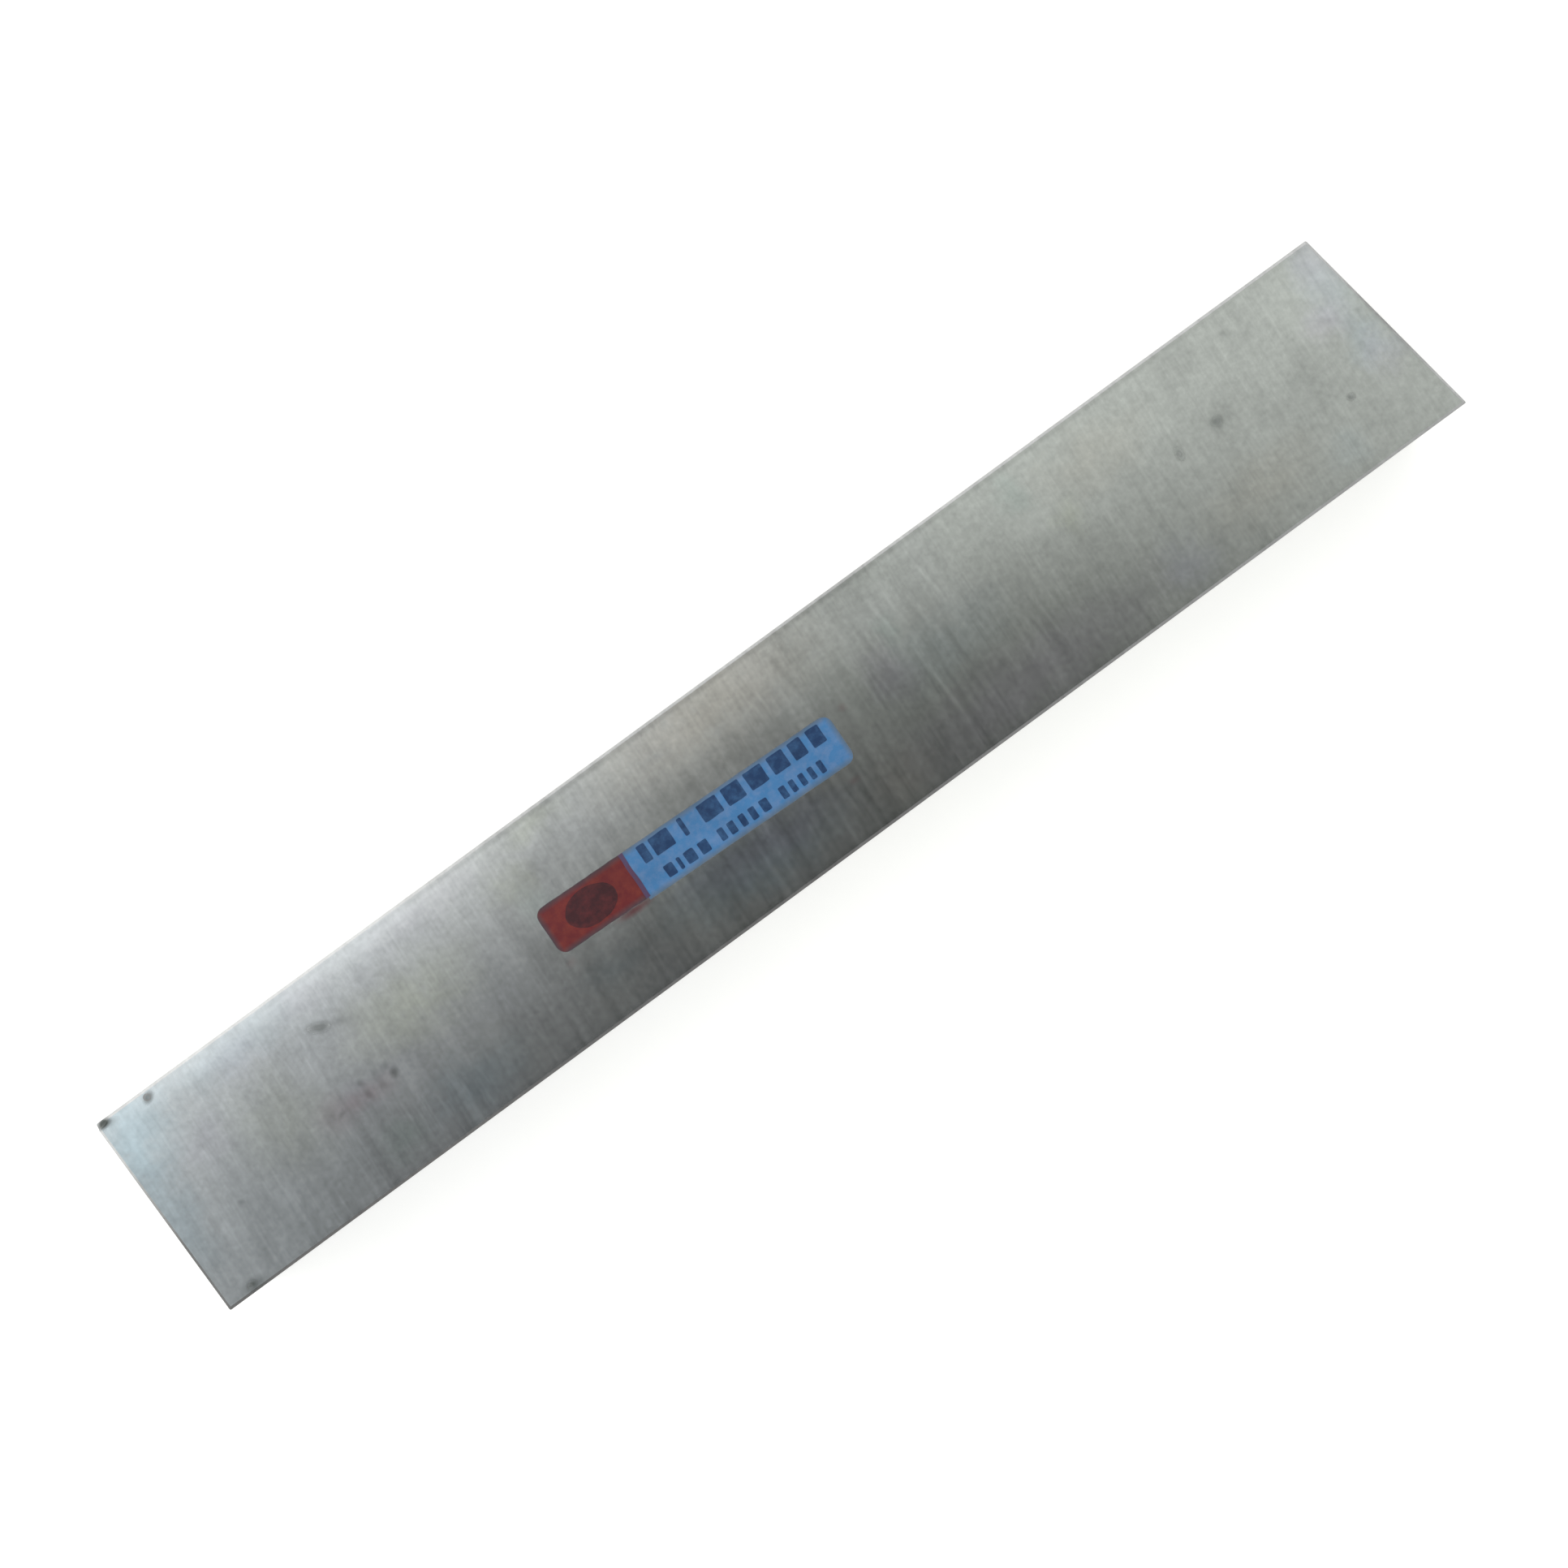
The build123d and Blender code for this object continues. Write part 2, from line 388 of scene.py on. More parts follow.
class StageSettings(bpy.types.PropertyGroup):
    floor: colour("Floor", "Pale acrylic of the light table", "#F4F4F2")
    floor_glow: share("Floor Glow", "Light that comes up through the light table", 0.4, 5.0)
    floor_radius: length("Floor Radius", "Radius of the floor", 80000.0)
    horizon: share("Horizon", "Brightness of the light tent at the floor", 0.75, 5.0)
    shoulder: share("Shoulder", "Brightness of the light tent a third of the way up", 0.8, 5.0)
    ring: share("Ring", "Brightness of the ring of light high in the tent", 1.35, 5.0)
    top: share("Top", "Brightness of the tent overhead", 1.1276, 5.0)
    lean: pair("Lean", "How much brighter the tent is towards +X and +Y", (-0.5, 0.25))
    port_middle: pair("Port Middle", "Direction of the camera port, as its X and Y", (0.0024, -0.0272))
    port_size: pair("Port Size", "Half width of the camera port, along X and Y", (0.2256, 0.074))
    port_turn: angle("Port Turn", "Turn of the camera port", -3.8)
    port_edge: share("Port Edge", "Half width of the port's soft edge", 0.319)
    port_dark: share("Port Darkness", "Share of the tent's light that the port gives", 0.069)
    lamp_middle: pair("Lamp Middle", "Direction of the soft lamp, as its X and Y", (-0.083, 0.0448))
    lamp_size: pair("Lamp Size", "Half width of the soft lamp, along X and Y", (0.07, 0.0742))
    lamp: share("Lamp", "Brightness of the soft lamp", 0.931, 10.0)
    lens: bpy.props.FloatProperty(name="Lens", description="Focal length of the camera, in mm", default=70)
    place: bpy.props.FloatVectorProperty(
        name="Camera Place", description="Where the camera stands", unit="LENGTH",
        default=(-10.394 * MM, -3.869 * MM, 273.759 * MM), precision=5,
    )
    aim: bpy.props.FloatVectorProperty(
        name="Camera Aim", description="Rotation of the camera", unit="ROTATION",
        default=(radians(1.6432), radians(-1.3212), radians(-36.2641)),
    )


def add(tree, kind, inputs=(), **settings):
    """Add one node. Settings are its own properties. An input is found by its identifier, name or
    number, and takes a value, a socket, or a node whose first shown output feeds it."""
    node = tree.nodes.new(kind)
    for name, value in settings.items():
        setattr(node, name, value)
    for key, value in dict(inputs).items():
        named = [socket for socket in node.inputs if key in (socket.identifier, socket.name)]
        socket = named[0] if named else node.inputs[key]
        if isinstance(value, bpy.types.Node):
            value = next(output for output in value.outputs if not output.is_unavailable)
        if isinstance(value, bpy.types.NodeSocket):
            tree.links.new(value, socket)
        else:
            socket.default_value = value
    return node


def empty_tree(owner):
    """The node tree of a material or world, emptied."""
    owner.use_nodes = True
    owner.node_tree.nodes.clear()
    return owner.node_tree


def spots(tree, place, rows, core=0.0):
    """Weights of soft oval spots in the upper face, added up. The rows are as in the tables above, and
    the core is the share of each spot that has its full weight."""
    total = None
    for along, across, half_length, half_width, turn, weight in rows:
        inside = add(tree, "ShaderNodeMapping", {
            "Vector": place,
            "Location": (along * MM, across * MM, FACE_Z),
            "Rotation": (0, 0, radians(turn)),
            "Scale": (half_length * MM, half_width * MM, 2 * MM),
        }, vector_type="TEXTURE")
        ball = add(tree, "ShaderNodeTexGradient", {"Vector": inside}, gradient_type="SPHERICAL")
        spot = add(tree, "ShaderNodeMapRange", {
            "Value": ball.outputs["Fac"], "From Max": 1 - core, "To Max": weight,
        }, interpolation_type="SMOOTHSTEP")
        total = spot if total is None else add(tree, "ShaderNodeMath", {0: total, 1: spot}, operation="ADD")
    return total


def grinding_lines(tree, settings, place, axes, end):
    """Coordinates that run across the grinding lines, and the direction that they stretch a
    reflection in. The lines lie across the long faces. On the ends they are arcs about the middle
    of the cut-off wheel."""
    lines = add(tree, "ShaderNodeMapping", {
        "Vector": place,
        "Rotation": (0, 0, -settings.lean),
        "Scale": (settings.line_pitch, settings.line_length, settings.line_length),
    }, vector_type="TEXTURE")
    from_wheel = add(tree, "ShaderNodeVectorMath", {
        0: place, 1: (0, BAR_LOW[1], BAR_HIGH[2] + settings.wheel),
    }, operation="SUBTRACT")
    outward = add(tree, "ShaderNodeVectorMath", {0: from_wheel, 1: (0, 1, 1)}, operation="MULTIPLY")
    radius = add(tree, "ShaderNodeVectorMath", {0: outward}, operation="LENGTH")
    ring = add(tree, "ShaderNodeMath", {0: radius, 1: settings.cut_pitch}, operation="DIVIDE")
    swept = add(tree, "ShaderNodeMath", {0: axes.outputs["Y"], 1: settings.line_length}, operation="DIVIDE")
    arcs = add(tree, "ShaderNodeCombineXYZ", {"X": ring, "Y": swept})
    ground = add(tree, "ShaderNodeMix", {
        "Factor": end, "A_Vector": lines, "B_Vector": arcs,
    }, data_type="VECTOR")
    wide_lobe = add(tree, "ShaderNodeMix", {
        "Factor": end, "A_Vector": (1, 0, 0), "B_Vector": outward,
    }, data_type="VECTOR")
    return ground, wide_lobe


def steel_tone(tree, settings, place, patterns):
    """Share of its light that each spot of the steel gives back, with painted sheen and shade in it. The
    wheel marks and the painted patches of sheen and shade set it first, then each pattern, less its middle,
    adds to it or takes from it."""
    marks_sheen_and_shade = spots(tree, place, WHEEL_MARKS + TONE_SHEEN_AND_SHADE_PATCHES)
    tone = add(tree, "ShaderNodeMath", {
        0: marks_sheen_and_shade, 1: settings.mark_contrast, 2: 1.0,
    }, operation="MULTIPLY_ADD")
    for pattern, swing in patterns:
        change = add(tree, "ShaderNodeMath", {0: pattern, 1: 0.5}, operation="SUBTRACT")
        tone = add(tree, "ShaderNodeMath", {0: change, 1: swing, 2: tone}, operation="MULTIPLY_ADD")
    return tone


def hazy_skin(tree, settings, place, axes, drifted):
    """Colour of the steel under its haze and its thin films. The haze is cool near the square end
    and warm on the rest, and both break up in patches."""
    haze = add(tree, "ShaderNodeTexNoise", {
        "Vector": place, "Scale": 1 / settings.haze, "Detail": 2.0, "Roughness": 0.5,
    })
    wander = add(tree, "ShaderNodeMath", {
        0: haze, 1: 60 * MM, 2: axes.outputs["X"],
    }, operation="MULTIPLY_ADD")
    cool = add(tree, "ShaderNodeMapRange", {"Value": wander, "From Min": 15 * MM, "From Max": -40 * MM})
    warm = add(tree, "ShaderNodeMapRange", {"Value": wander, "From Min": -10 * MM, "From Max": 45 * MM})
    skin = settings.steel
    for film, film_colour in ((cool, settings.cool_haze), (warm, settings.warm_haze)):
        skin = add(tree, "ShaderNodeMix", {
            "Factor": film, "A_Color": skin, "B_Color": film_colour,
        }, data_type="RGBA")
    for name, rows in FILM_PATCHES.items():
        skin = add(tree, "ShaderNodeMix", {
            "Factor": spots(tree, drifted, rows), "A_Color": skin, "B_Color": getattr(settings, name),
        }, data_type="RGBA")
    return skin


def broken_edges(tree, settings, axes, facing):
    """How far a spot lies in a broken edge, where no face looks straight out of the bar's box, and
    the colour of the edges there: steel-coloured on the +Y side, and darker towards the -Y side and the
    square end, as painted shade."""
    squarest = add(tree, "ShaderNodeMath", {
        0: facing.outputs["X"], 1: facing.outputs["Y"],
    }, operation="MAXIMUM")
    squarest = add(tree, "ShaderNodeMath", {0: squarest, 1: facing.outputs["Z"]}, operation="MAXIMUM")
    edge = add(tree, "ShaderNodeMapRange", {"Value": squarest, "From Min": 0.95, "From Max": 0.85})
    across = add(tree, "ShaderNodeMath", {
        0: axes.outputs["X"], 1: 0.1, 2: axes.outputs["Y"],
    }, operation="MULTIPLY_ADD")
    unshaded_share = add(tree, "ShaderNodeMapRange", {"Value": across, "From Min": BAR_LOW[1], "From Max": 0.0})
    edge_colour_and_shade = add(tree, "ShaderNodeMix", {
        "Factor": unshaded_share, "A_Color": settings.shaded_edge, "B_Color": settings.clean_edge,
    }, data_type="RGBA")
    return edge, edge_colour_and_shade


def ground_steel(settings):
    """High-speed steel, surface ground across the bar on its four long faces and cut off at its
    ends. The grinding lines stretch each reflection along the bar, so its tone drifts softly and is
    crossed by fine streaks. Hands, oil and air have left it with a thin uneven haze. Its colour also
    holds painted sheen and shade: lighter and darker patches, dark bands along the edges, darker
    edges on the -Y side, and a darker break in the broken corner."""
    material = bpy.data.materials.new("ground_high_speed_steel")
    tree = empty_tree(material)
    place = add(tree, "ShaderNodeTexCoord").outputs["Object"]
    axes = add(tree, "ShaderNodeSeparateXYZ", {0: place})
    normal = add(tree, "ShaderNodeNewGeometry").outputs["True Normal"]
    facing = add(tree, "ShaderNodeVectorMath", {0: normal}, operation="ABSOLUTE")
    facing = add(tree, "ShaderNodeSeparateXYZ", {0: facing})
    end = add(tree, "ShaderNodeMath", {0: facing.outputs["X"], 1: 0.75}, operation="GREATER_THAN")
    ground, wide_lobe = grinding_lines(tree, settings, place, axes, end)

    # Real grinding lines are some hundredths of a millimetre apart: these are drawn coarser, to show
    grain = add(tree, "ShaderNodeTexNoise", {"Vector": ground, "Scale": 1.0, "Detail": 2.0, "Roughness": 0.6})
    streaks = add(tree, "ShaderNodeTexNoise", {
        "Vector": ground, "Scale": settings.line_pitch / settings.streak_pitch, "Detail": 2.0,
        "Roughness": 0.5,
    })
    specks = add(tree, "ShaderNodeTexNoise", {
        "Vector": place, "Scale": 1 / settings.speck, "Detail": 2.0, "Roughness": 0.55,
    })
    clouds = add(tree, "ShaderNodeTexNoise", {
        "Vector": place, "Scale": 1 / settings.cloud, "Detail": 4.0, "Roughness": 0.62,
    })
    tone = steel_tone(tree, settings, place, (
        (grain, settings.line_contrast), (streaks, settings.streak_contrast),
        (specks, settings.speck_contrast), (clouds, settings.cloud_contrast),
    ))

    # Films and stains have frayed edges
    stray = add(tree, "ShaderNodeVectorMath", {
        0: clouds.outputs["Color"], 1: (0.5,) * 3,
    }, operation="SUBTRACT")
    frayed, drifted = (
        add(tree, "ShaderNodeVectorMath", {0: stray, 1: (reach,) * 3, 2: place}, operation="MULTIPLY_ADD")
        for reach in (settings.fray, settings.drift)
    )
    skin = hazy_skin(tree, settings, place, axes, drifted)
    edge, edge_colour_and_shade = broken_edges(tree, settings, axes, facing)
    # The broken edges take their colour, with painted shade on the -Y side
    skin = add(tree, "ShaderNodeMix", {"Factor": edge, "A_Color": skin, "B_Color": edge_colour_and_shade}, data_type="RGBA")
    # The tone, with its painted sheen and shade, also lightens or darkens the broken edges
    skin = add(tree, "ShaderNodeVectorMath", {0: skin, "Scale": tone}, operation="SCALE")

    # Grime fills the pits and the broken corner, and stains spread round them. In the broken corner the grime
    # is partly painted shade.
    thick_grime_and_shade = spots(tree, frayed, THICK_GRIME_AND_SHADE, 0.2)
    grime_and_shade = add(tree, "ShaderNodeMath", {0: thick_grime_and_shade, 1: spots(tree, frayed, DARK_STAINS)}, operation="ADD")
    residue = spots(tree, frayed, RESIDUE_STAINS)
    for stain, stain_colour in ((residue, settings.residue), (grime_and_shade, settings.grime_and_shade)):
        skin = add(tree, "ShaderNodeMix", {
            "Factor": stain, "A_Color": skin, "B_Color": stain_colour,
        }, data_type="RGBA")

    # Streaks, grime, broken edges and cut ends are rougher than the ground faces
    rough = settings.roughness - settings.streak_roughness / 2
    for pattern, swing in (
        (streaks, settings.streak_roughness), (grime_and_shade, settings.grime_roughness),
        (edge, settings.edge_roughness), (end, settings.cut_roughness),
    ):
        rough = add(tree, "ShaderNodeMath", {0: pattern, 1: swing, 2: rough}, operation="MULTIPLY_ADD")
    relief = add(tree, "ShaderNodeBump", {"Height": grain, "Distance": settings.relief})

    # Where the grime lies thick it hides the metal
    bare = add(tree, "ShaderNodeMapRange", {
        "Value": thick_grime_and_shade, "From Min": 0.15, "From Max": 0.4, "To Min": 1.0, "To Max": 0.0,
    })
    shader = add(tree, "ShaderNodeBsdfPrincipled", {
        "Base Color": skin, "Metallic": bare, "Roughness": rough, "Anisotropic": settings.anisotropy,
        "Normal": relief, "Tangent": wide_lobe,
    })
    add(tree, "ShaderNodeOutputMaterial", {"Surface": shader})
    return material


def printing_ink(name, ink, thin_ink, wear, border_ink, height, settings):
    """Screen-printed ink under clear varnish. It lies flat and glossy, a little cloudy, thins in
    specks where the colour under it shows, and is worn along the border of its field."""
    material = bpy.data.materials.new(name)
    tree = empty_tree(material)
    place = add(tree, "ShaderNodeTexCoord").outputs["Object"]
    specks = add(tree, "ShaderNodeTexNoise", {
        "Vector": place, "Scale": 1 / settings.speck, "Detail": 3.0, "Roughness": 0.6,
    })
    clouds = add(tree, "ShaderNodeTexNoise", {
        "Vector": place, "Scale": 1 / settings.cloud, "Detail": 3.0, "Roughness": 0.55,
    })
    thin = add(tree, "ShaderNodeMapRange", {
        "Value": specks, "From Min": 0.4, "From Max": 0.7, "To Min": 0.0, "To Max": wear,
    })
    mixed = add(tree, "ShaderNodeMix", {
        "Factor": thin, "A_Color": ink, "B_Color": thin_ink,
    }, data_type="RGBA")

    # A field hangs from the label's upper edge, so a lower field has its middle higher up
    inside = add(tree, "ShaderNodeMapping", {
        "Vector": place, "Location": LABEL_MIDDLE, "Rotation": (0, 0, settings.turn),
    }, vector_type="TEXTURE")
    middle = (0, (settings.blue_height - height) / 2, 0)
    inside = add(tree, "ShaderNodeVectorMath", {0: inside, 1: middle}, operation="SUBTRACT")
    inside = add(tree, "ShaderNodeVectorMath", {0: inside}, operation="ABSOLUTE")
    half = ((settings.red_length + settings.blue_length) / 2, height / 2, 0)
    past = add(tree, "ShaderNodeVectorMath", {0: inside, 1: half}, operation="SUBTRACT")
    past = add(tree, "ShaderNodeSeparateXYZ", {0: past})
    past = add(tree, "ShaderNodeMath", {
        0: past.outputs["X"], 1: past.outputs["Y"],
    }, operation="MAXIMUM")
    border = add(tree, "ShaderNodeMapRange", {
        "Value": past, "From Min": -settings.border, "From Max": 0.0, "To Min": 0.0, "To Max": 0.8,
    })
    mixed = add(tree, "ShaderNodeMix", {
        "Factor": border, "A_Color": mixed, "B_Color": border_ink,
    }, data_type="RGBA")
    tone = add(tree, "ShaderNodeMapRange", {
        "Value": clouds, "From Min": 0.3, "From Max": 0.7, "To Min": 0.9, "To Max": 1.1,
    })
    mixed = add(tree, "ShaderNodeVectorMath", {0: mixed, "Scale": tone}, operation="SCALE")
    rough = add(tree, "ShaderNodeMath", {
        0: specks, 1: settings.gloss_change, 2: settings.gloss - settings.gloss_change / 2,
    }, operation="MULTIPLY_ADD")
    relief = add(tree, "ShaderNodeBump", {"Height": specks, "Distance": settings.relief})
    shader = add(tree, "ShaderNodeBsdfPrincipled", {
        "Base Color": mixed, "Roughness": rough, "Normal": relief,
    })
    add(tree, "ShaderNodeOutputMaterial", {"Surface": shader})
    return material


def oval(middle, half_length, half_height, points=48):
    turns = [2 * pi * step / points for step in range(points)]
    return [Vector((half_length * cos(turn), half_height * sin(turn))) + Vector(middle) for turn in turns]


def rounded(low, high, radii=(0, 0, 0, 0), points=8):
    """Outline of a rectangle. The radii are those of its corners, from the lower left one round."""
    corners = (
        (low[0], low[1], 1, 1), (high[0], low[1], -1, 1),
        (high[0], high[1], -1, -1), (low[0], high[1], 1, -1),
    )
    outline = []
    for quarter, ((x, y, right, up), radius) in enumerate(zip(corners, radii)):
        for step in range(points + 1 if radius else 1):
            turn = pi + (quarter + step / points) * pi / 2
            outline.append(Vector((x + radius * (right + cos(turn)), y + radius * (up + sin(turn)))))
    return outline


def hand_cut(outline, wander, step=0.25 * MM):
    """The outline with points every step, each moved a little, as the edge of ink wanders."""
    points = []
    for start, stop in zip(outline, outline[1:] + outline[:1]):
        pieces = max(1, ceil((stop - start).length / step))
        points += [start.lerp(stop, piece / pieces) for piece in range(pieces)]
    return [point + wander * noise.noise_vector((point / MM).to_3d()).to_2d() for point in points]


def layer(name, outlines, low, high, turn, material):
    """Flat piece of the label, made of outlines in the label's own directions, between two heights
    over the bar's face."""
    work = bmesh.new()
    for outline in outlines:
        underside = work.faces.new([work.verts.new((point.x, point.y, low)) for point in outline])
        raised = bmesh.ops.extrude_face_region(work, geom=[underside])["geom"]
        upper = [part for part in raised if isinstance(part, bmesh.types.BMVert)]
        bmesh.ops.translate(work, verts=upper, vec=(0, 0, high - low))
    bmesh.ops.recalc_face_normals(work, faces=work.faces)
    mesh = bpy.data.meshes.new(name)
    work.to_mesh(mesh)
    work.free()
    mesh.transform(Matrix.Translation(LABEL_MIDDLE) @ Matrix.Rotation(turn, 4, "Z"))
    mesh.materials.append(material)
    piece = bpy.data.objects.new(name, mesh)
    bpy.context.scene.collection.objects.link(piece)
    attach(piece, BODY)
    return piece


def boundary_place(settings):
    """X of the line where the red field meets the blue one, from the label's middle."""
    return (settings.red_length - settings.blue_length) / 2


def field_outlines(settings):
    """Outlines of the red and the blue field, whose upper edges are in line."""
    half = (settings.red_length + settings.blue_length) / 2
    boundary = boundary_place(settings)
    top = settings.blue_height / 2
    corner = settings.corner
    red = rounded((-half, top - settings.red_height), (boundary, top), (corner, 0, 0, corner))
    blue = rounded((boundary, -top), (half, top), (0, corner, corner, 0))
    return red, blue


class TOOLBIT_OT_steel(bpy.types.Operator):
    """Give the bar its ground steel"""

    bl_idname = "toolbit.steel"
    bl_label = "Grind the Steel"

    def execute(self, context):
        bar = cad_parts[BAR]
        bar.data.materials.clear()
        bar.data.materials.append(ground_steel(context.scene.toolbit_steel))
        return {"FINISHED"}


class TOOLBIT_OT_film(bpy.types.Operator):
    """Lay the label's clear film on the upper face"""

    bl_idname = "toolbit.film"
    bl_label = "Lay the Film"

    def execute(self, context):
        settings = context.scene.toolbit_label
        material = printing_ink(
            "varnished_film", settings.film, settings.film, 0.0, settings.film, settings.blue_height,
            settings,
        )
        film = layer("label_film", field_outlines(settings), 0, FILM_TOP, settings.turn, material)
        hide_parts(LABEL)
        return {"FINISHED"}


class TOOLBIT_OT_fields(bpy.types.Operator):
    """Print the red and the blue field on the film"""

    bl_idname = "toolbit.fields"
    bl_label = "Print the Fields"

    def execute(self, context):
        settings = context.scene.toolbit_label
        red, blue = field_outlines(settings)
        red_inks = (settings.red, settings.thin_red, 0.7, settings.red_border)
        blue_inks = (settings.blue, settings.thin_blue, 0.7, settings.blue_border)
        for name, outline, inks, height in (
            ("red_field", red, red_inks, settings.red_height),
            ("blue_field", blue, blue_inks, settings.blue_height),
        ):
            material = printing_ink(name.replace("field", "ink"), *inks, height, settings)
            layer(name, [hand_cut(outline, FIELD_WANDER)], FILM_TOP, FIELD_TOP, settings.turn, material)
        return {"FINISHED"}


class TOOLBIT_OT_print(bpy.types.Operator):
    """Print the blocks, the dark oval and the overlap on the fields"""

    bl_idname = "toolbit.print"
    bl_label = "Print the Marks"

    def execute(self, context):
        settings = context.scene.toolbit_label
        boundary = boundary_place(settings)
        top = settings.blue_height / 2
        blocks = []
        for row, middle, height in PRINT_ROWS:
            for start, width in row:
                low = (start * MM, (middle - height / 2) * MM)
                high = ((start + width) * MM, (middle + height / 2) * MM)
                blocks.append(hand_cut(rounded(low, high, (BLOCK_CORNER,) * 4), BLOCK_WANDER))
        centre = (boundary - settings.red_length / 2, top - settings.red_height / 2)
        mark = oval(centre, settings.oval_length, settings.oval_height)
        foot = (boundary - settings.overlap / 2, top - settings.red_height)
        strip = rounded(foot, (boundary + settings.overlap / 2, top))
        for name, outlines, ink, under, wear in (
            ("navy_blocks", blocks, settings.navy, settings.blue, 0.3),
            ("maroon_oval", [hand_cut(mark, OVAL_WANDER)], settings.maroon, settings.red, 0.5),
            ("overlap_strip", [hand_cut(strip, STRIP_WANDER)], settings.purple, settings.red, 0.4),
        ):
            material = printing_ink(
                name.split("_")[0] + "_ink", ink, under, wear, ink, settings.blue_height, settings
            )
            layer(name, outlines, FIELD_TOP, PRINT_TOP, settings.turn, material)
        return {"FINISHED"}


def oval_in_sky(tree, direction, middle, size, turn):
    """Distance of a direction from an oval's middle, 1 on its edge, for an oval high in the tent."""
    inside = add(tree, "ShaderNodeMapping", {
        "Vector": direction, "Location": (*middle, 1), "Rotation": (0, 0, turn), "Scale": (*size, 1),
    }, vector_type="TEXTURE")
    return add(tree, "ShaderNodeVectorMath", {0: inside}, operation="LENGTH")


def light_tent(settings):
    """White cloth tent lit from outside, brightest in a ring, with a dark port for the camera."""
    world = bpy.data.worlds.new("light_tent")
    tree = empty_tree(world)
    direction = add(tree, "ShaderNodeTexCoord").outputs["Generated"]
    axes = add(tree, "ShaderNodeSeparateXYZ", {0: direction})
    rise = add(tree, "ShaderNodeValToRGB", {"Fac": axes.outputs["Z"]})
    ramp = rise.color_ramp
    heights = (
        (0.0, settings.horizon), (0.5, settings.shoulder), (0.85, settings.ring), (0.955, settings.top),
    )
    while len(ramp.elements) < len(heights):
        ramp.elements.new(0.5)
    for stop, (height, level) in zip(ramp.elements, heights):
        stop.position = height
        stop.color = (level, level, level, 1)
    level = rise
    for axis, slope in zip("XY", settings.lean):
        tilt = add(tree, "ShaderNodeMath", {
            0: axes.outputs[axis], 1: slope, 2: 1.0,
        }, operation="MULTIPLY_ADD")
        level = add(tree, "ShaderNodeMath", {0: level, 1: tilt}, operation="MULTIPLY")
    port = add(tree, "ShaderNodeMapRange", {
        "Value": oval_in_sky(tree, direction, settings.port_middle, settings.port_size, settings.port_turn),
        "From Min": 1 - settings.port_edge, "From Max": 1 + settings.port_edge, "To Min": settings.port_dark,
    }, interpolation_type="SMOOTHSTEP")
    lamp = add(tree, "ShaderNodeMapRange", {
        "Value": oval_in_sky(tree, direction, settings.lamp_middle, settings.lamp_size, 0),
        "From Min": 1.0, "From Max": 0.0, "To Min": 0.0, "To Max": settings.lamp,
    }, interpolation_type="SMOOTHSTEP")
    level = add(tree, "ShaderNodeMath", {0: level, 1: port, 2: lamp}, operation="MULTIPLY_ADD")
    cloth = add(tree, "ShaderNodeBackground", {"Color": (1, 1, 1, 1), "Strength": level})
    add(tree, "ShaderNodeOutputWorld", {"Surface": cloth})
    return world


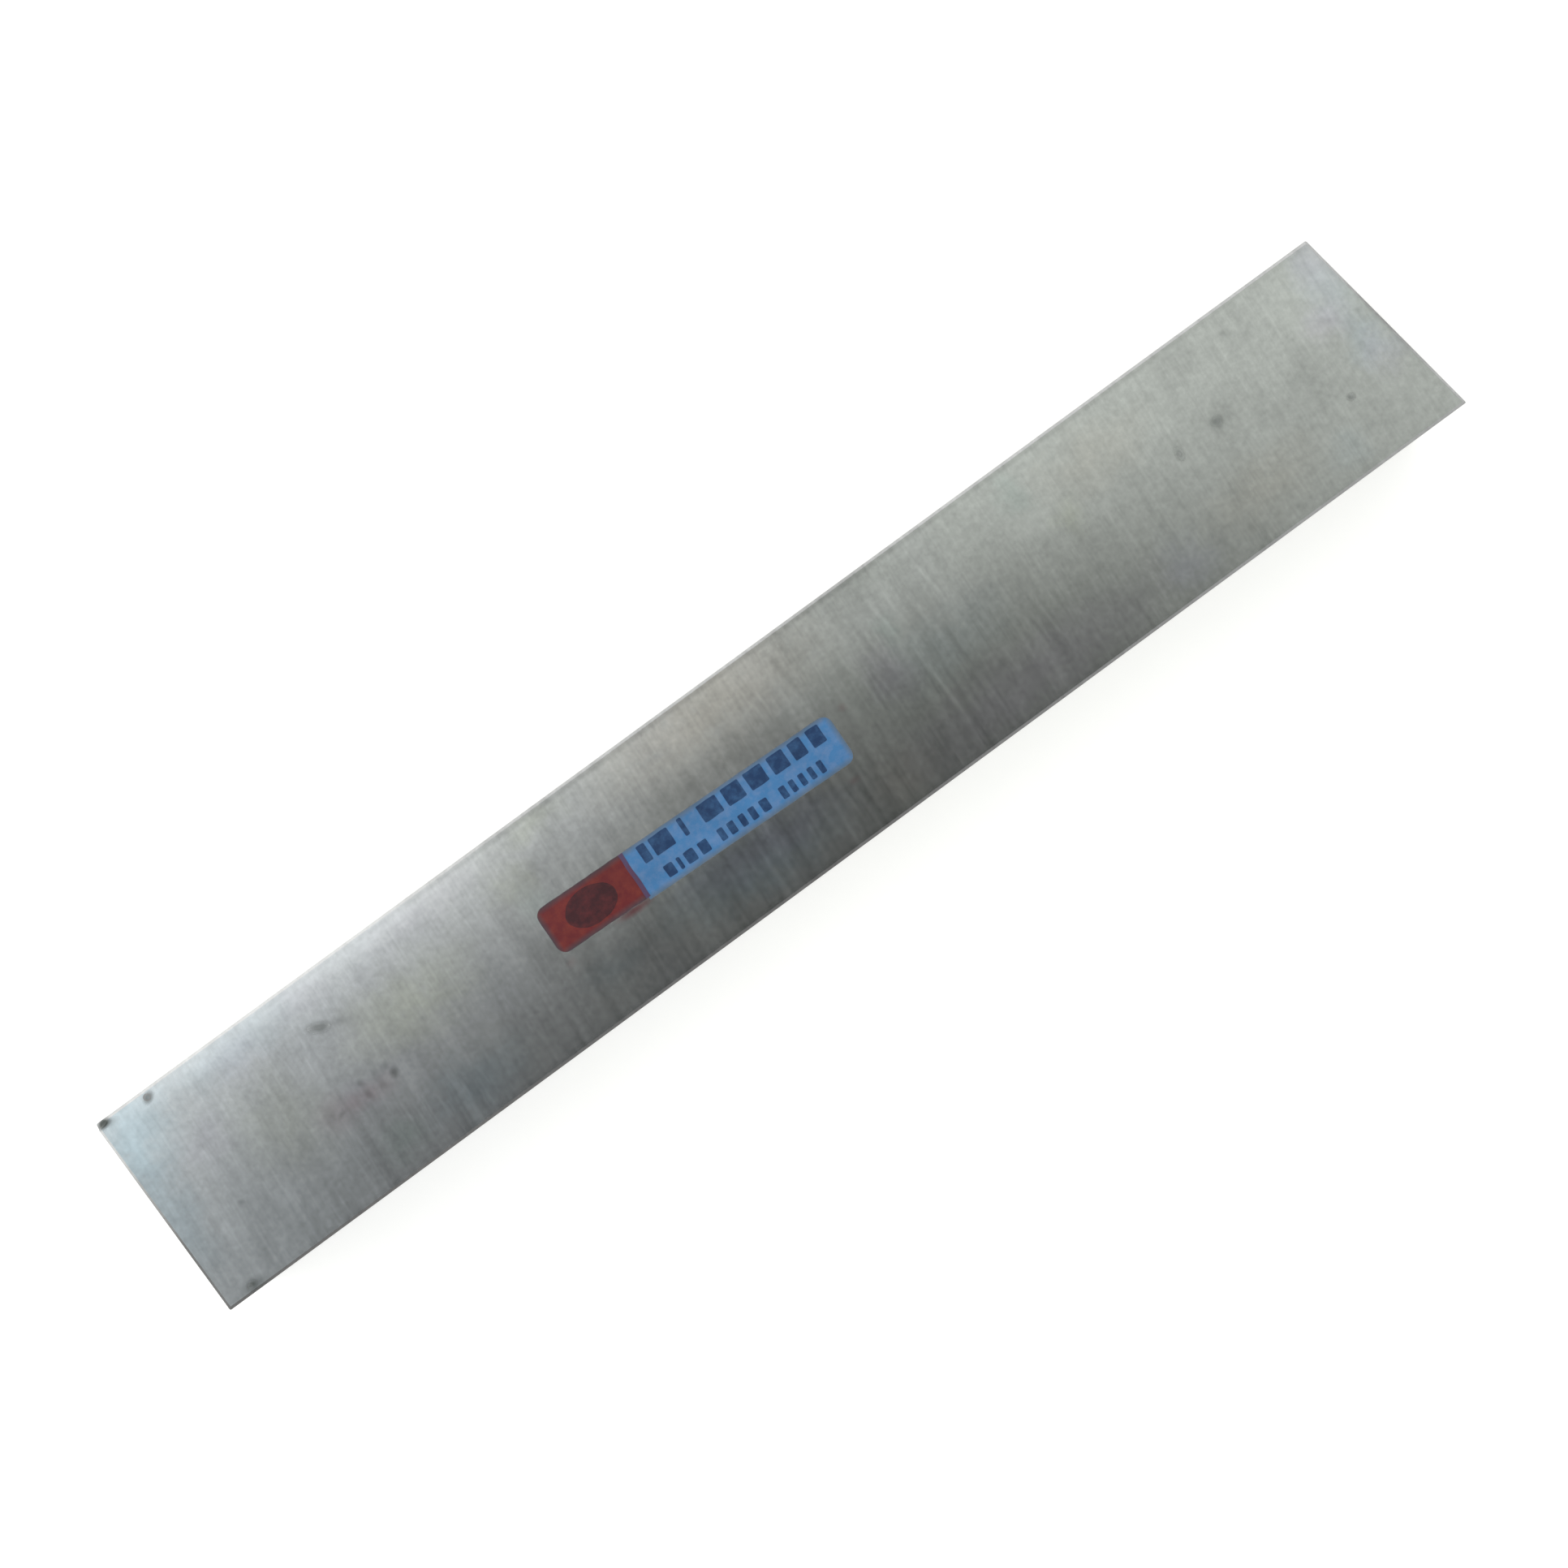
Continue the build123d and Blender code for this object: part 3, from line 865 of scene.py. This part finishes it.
class TOOLBIT_OT_stage(bpy.types.Operator):
    """Set out the light table, the light tent and the camera"""

    bl_idname = "toolbit.stage"
    bl_label = "Set the Stage"

    def execute(self, context):
        scene = context.scene
        settings = scene.toolbit_stage
        scene.view_settings.view_transform = "Standard"
        scene.world = light_tent(settings)

        # Opal acrylic, lit from below, so the floor stays pale right up to the bar
        material = bpy.data.materials.new("opal_acrylic")
        tree = empty_tree(material)
        shader = add(tree, "ShaderNodeBsdfPrincipled", {
            "Base Color": settings.floor, "Roughness": 0.9,
            "Emission Color": settings.floor, "Emission Strength": settings.floor_glow,
        })
        add(tree, "ShaderNodeOutputMaterial", {"Surface": shader})
        work = bmesh.new()
        bmesh.ops.create_circle(work, cap_ends=True, radius=settings.floor_radius, segments=96)
        mesh = bpy.data.meshes.new("floor")
        work.to_mesh(mesh)
        work.free()
        mesh.materials.append(material)
        floor = bpy.data.objects.new("floor", mesh)
        scene.collection.objects.link(floor)

        data = bpy.data.cameras.new("camera")
        data.lens = settings.lens
        data.clip_start = 10 * MM
        camera = bpy.data.objects.new("camera", data)
        camera.location = settings.place
        camera.rotation_euler = settings.aim
        scene.collection.objects.link(camera)
        scene.camera = camera
        return {"FINISHED"}


STEPS = (
    (TOOLBIT_OT_steel, "toolbit_steel"),
    (TOOLBIT_OT_film, "toolbit_label"),
    (TOOLBIT_OT_fields, "toolbit_label"),
    (TOOLBIT_OT_print, "toolbit_label"),
    (TOOLBIT_OT_stage, "toolbit_stage"),
)
GROUPS = {"toolbit_steel": SteelSettings, "toolbit_label": LabelSettings, "toolbit_stage": StageSettings}


class TOOLBIT_PT_bench(bpy.types.Panel):
    """Lists the steps that dress the tool bit, and the settings that they read"""

    bl_idname = "TOOLBIT_PT_bench"
    bl_label = "Tool Bit"
    bl_space_type = "VIEW_3D"
    bl_region_type = "UI"
    bl_category = "Tool Bit"

    def draw(self, context):
        for name, group in GROUPS.items():
            box = self.layout.box()
            for operator, group_name in STEPS:
                if group_name == name:
                    box.operator(operator.bl_idname)
            for setting in group.__annotations__:
                box.prop(getattr(context.scene, name), setting)


CLASSES = (*GROUPS.values(), *(operator for operator, name in STEPS), TOOLBIT_PT_bench)


def register():
    for kind in CLASSES:
        bpy.utils.register_class(kind)
    for name, group in GROUPS.items():
        setattr(bpy.types.Scene, name, bpy.props.PointerProperty(type=group))


def unregister():
    for name in GROUPS:
        delattr(bpy.types.Scene, name)
    for kind in reversed(CLASSES):
        bpy.utils.unregister_class(kind)


def main():
    register()
    bpy.ops.toolbit.steel()
    bpy.ops.toolbit.film()
    bpy.ops.toolbit.fields()
    bpy.ops.toolbit.print()
    bpy.ops.toolbit.stage()


if __name__ == "__main__":
    main()
